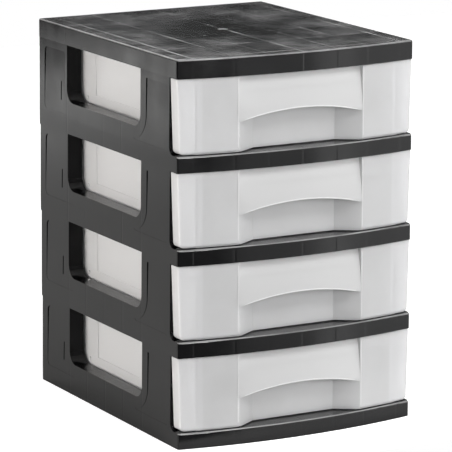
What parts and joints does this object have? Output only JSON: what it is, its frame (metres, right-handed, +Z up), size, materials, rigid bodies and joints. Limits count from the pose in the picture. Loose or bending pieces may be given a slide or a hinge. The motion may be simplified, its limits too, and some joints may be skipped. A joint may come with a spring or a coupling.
{
  "type": "letter tray stack with drawers",
  "caption": "Desktop cabinet of open-sided tiers with bowed, translucent sliding drawers for letter paper, each with a finger recess under a pull panel.",
  "frame": {"origin": "middle of the footprint, on the surface that the stack stands on", "axes": "+Z up, drawers open toward -Y, +X to the right seen from the front"},
  "size_m": [0.285, 0.348, 0.4165],
  "materials": {
    "frame_black": "glossy moulded polystyrene",
    "drawer_translucent": "milky translucent moulded polypropylene, satin"
  },
  "bodies": {
    "cabinet": {"base_plate": "frame_black", "shelf_plate_1": "frame_black", "shelf_plate_2": "frame_black", "shelf_plate_3": "frame_black", "top_plate": "frame_black", "left_side_panel_1": "frame_black", "right_side_panel_1": "frame_black", "back_panel_1": "frame_black", "left_side_panel_2": "frame_black", "right_side_panel_2": "frame_black", "back_panel_2": "frame_black", "left_side_panel_3": "frame_black", "right_side_panel_3": "frame_black", "back_panel_3": "frame_black", "left_side_panel_4": "frame_black", "right_side_panel_4": "frame_black", "back_panel_4": "frame_black"},
    "drawer_1": {"drawer_1": "drawer_translucent"},
    "drawer_2": {"drawer_2": "drawer_translucent"},
    "drawer_3": {"drawer_3": "drawer_translucent"},
    "drawer_4": {"drawer_4": "drawer_translucent"}
  },
  "joints": [
    {"name": "drawer_1_slide", "type": "slide", "parent": "cabinet", "child": "drawer_1", "axis": [0, -1, 0], "range_m": [0, 0.245]},
    {"name": "drawer_2_slide", "type": "slide", "parent": "cabinet", "child": "drawer_2", "axis": [0, -1, 0], "range_m": [0, 0.245]},
    {"name": "drawer_3_slide", "type": "slide", "parent": "cabinet", "child": "drawer_3", "axis": [0, -1, 0], "range_m": [0, 0.245]},
    {"name": "drawer_4_slide", "type": "slide", "parent": "cabinet", "child": "drawer_4", "axis": [0, -1, 0], "range_m": [0, 0.245]}
  ]
}
